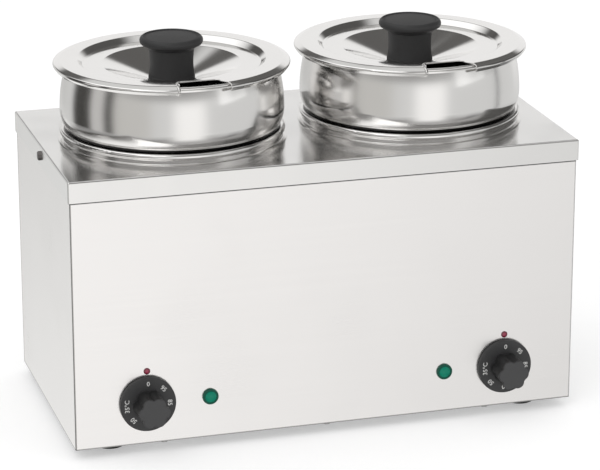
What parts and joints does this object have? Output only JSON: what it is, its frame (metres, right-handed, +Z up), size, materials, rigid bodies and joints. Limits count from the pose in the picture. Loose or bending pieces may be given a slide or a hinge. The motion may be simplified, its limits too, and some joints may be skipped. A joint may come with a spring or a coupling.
{
  "type": "two-pot topping warmer",
  "caption": "Countertop hot topping warmer with two heated wells, lift-out pots with notched lids and knobs, rotary thermostats and pilot lamps.",
  "frame": {"origin": "centre of the whole object's footprint box, on the surface the feet stand on", "axes": "+X to the right and +Y to the back, seen from the control side, +Z up"},
  "size_m": [0.4698, 0.2822, 0.3475],
  "materials": {
    "casing_steel": "fine satin-brushed stainless sheet",
    "cover_steel": "bright polished stainless sheet",
    "galvanised_steel": "plain galvanised sheet",
    "polished_steel": "mirror-polished stainless steel with spun grain",
    "foot_rubber": "matt black rubber",
    "fastener_steel": "zinc-plated steel",
    "heater_sheath": "heat-darkened steel sheath",
    "clamp_steel": "pressed aluminium sheet",
    "insulation_wool": "glass-fibre sleeve",
    "black_plastic": "charcoal black moulded phenolic, fine texture",
    "control_plastic": "dark moulded plastic",
    "copper": "drawn copper tube",
    "green_lens": "translucent green lens",
    "red_mark": "dark red enamel",
    "block_plastic": "natural polyamide",
    "gland_plastic": "black polyamide",
    "brass": "plain brass",
    "wire_insulation": "glass-fibre braided leads"
  },
  "bodies": {
    "housing": {"base_plate": "galvanised_steel", "base_plate_screws": "fastener_steel", "cable_gland": "gland_plastic", "capillary_left": "copper", "capillary_right": "copper", "earth_nut": "brass", "earth_stud": "brass", "foot_front_left": "foot_rubber", "foot_front_right": "foot_rubber", "foot_nuts": "fastener_steel", "foot_rear_left": "foot_rubber", "foot_rear_right": "foot_rubber", "foot_screws": "fastener_steel", "front_and_sides_shell": "casing_steel", "gland_locknut": "gland_plastic", "heater_clamp_plate_left": "clamp_steel", "heater_clamp_plate_right": "clamp_steel", "heater_element_left": "heater_sheath", "heater_element_right": "heater_sheath", "heater_nuts": "fastener_steel", "heater_studs": "fastener_steel", "index_marker_left": "red_mark", "index_marker_right": "red_mark", "insulation_jacket_left": "insulation_wool", "insulation_jacket_right": "insulation_wool", "internal_wiring": "wire_insulation", "overheat_cutout_left": "control_plastic", "overheat_cutout_right": "control_plastic", "pilot_body_left": "control_plastic", "pilot_body_right": "control_plastic", "pilot_lens_left": "green_lens", "pilot_lens_right": "green_lens", "pilot_nuts": "control_plastic", "rear_panel": "casing_steel", "rear_panel_screws": "fastener_steel", "terminal_block": "block_plastic", "terminal_block_screws": "fastener_steel", "thermostat_body_left": "control_plastic", "thermostat_body_right": "control_plastic", "thermostat_bulb_left": "copper", "thermostat_bulb_right": "copper", "thermostat_screws": "fastener_steel", "top_cover": "cover_steel", "top_cover_screws": "fastener_steel", "well_left": "polished_steel", "well_right": "polished_steel"},
    "pot_body_left": {"pot_left": "polished_steel"},
    "lid_body_left": {"lid_left": "polished_steel", "lid_knob_left": "black_plastic", "lid_knob_screw_left": "fastener_steel", "lid_knob_washer_left": "fastener_steel"},
    "control_body_left": {"control_knob_left": "black_plastic", "thermostat_shaft_left": "fastener_steel"},
    "pot_body_right": {"pot_right": "polished_steel"},
    "lid_body_right": {"lid_right": "polished_steel", "lid_knob_right": "black_plastic", "lid_knob_screw_right": "fastener_steel", "lid_knob_washer_right": "fastener_steel"},
    "control_body_right": {"control_knob_right": "black_plastic", "thermostat_shaft_right": "fastener_steel"}
  },
  "joints": [
    {"name": "pot_lift_left", "type": "slide", "parent": "housing", "child": "pot_body_left", "axis": [0, 0, 1], "range_m": [0, 0.2]},
    {"name": "lid_lift_left", "type": "slide", "parent": "pot_body_left", "child": "lid_body_left", "axis": [0, 0, 1], "range_m": [0, 0.12]},
    {"name": "control_turn_left", "type": "hinge", "parent": "housing", "child": "control_body_left", "pos_m": [-0.166, -0.1271, 0.048], "axis": [0, 1, 0], "range_deg": [0, 315]},
    {"name": "pot_lift_right", "type": "slide", "parent": "housing", "child": "pot_body_right", "axis": [0, 0, 1], "range_m": [0, 0.2]},
    {"name": "lid_lift_right", "type": "slide", "parent": "pot_body_right", "child": "lid_body_right", "axis": [0, 0, 1], "range_m": [0, 0.12]},
    {"name": "control_turn_right", "type": "hinge", "parent": "housing", "child": "control_body_right", "pos_m": [0.166, -0.1271, 0.048], "axis": [0, 1, 0], "range_deg": [0, 315]}
  ]
}
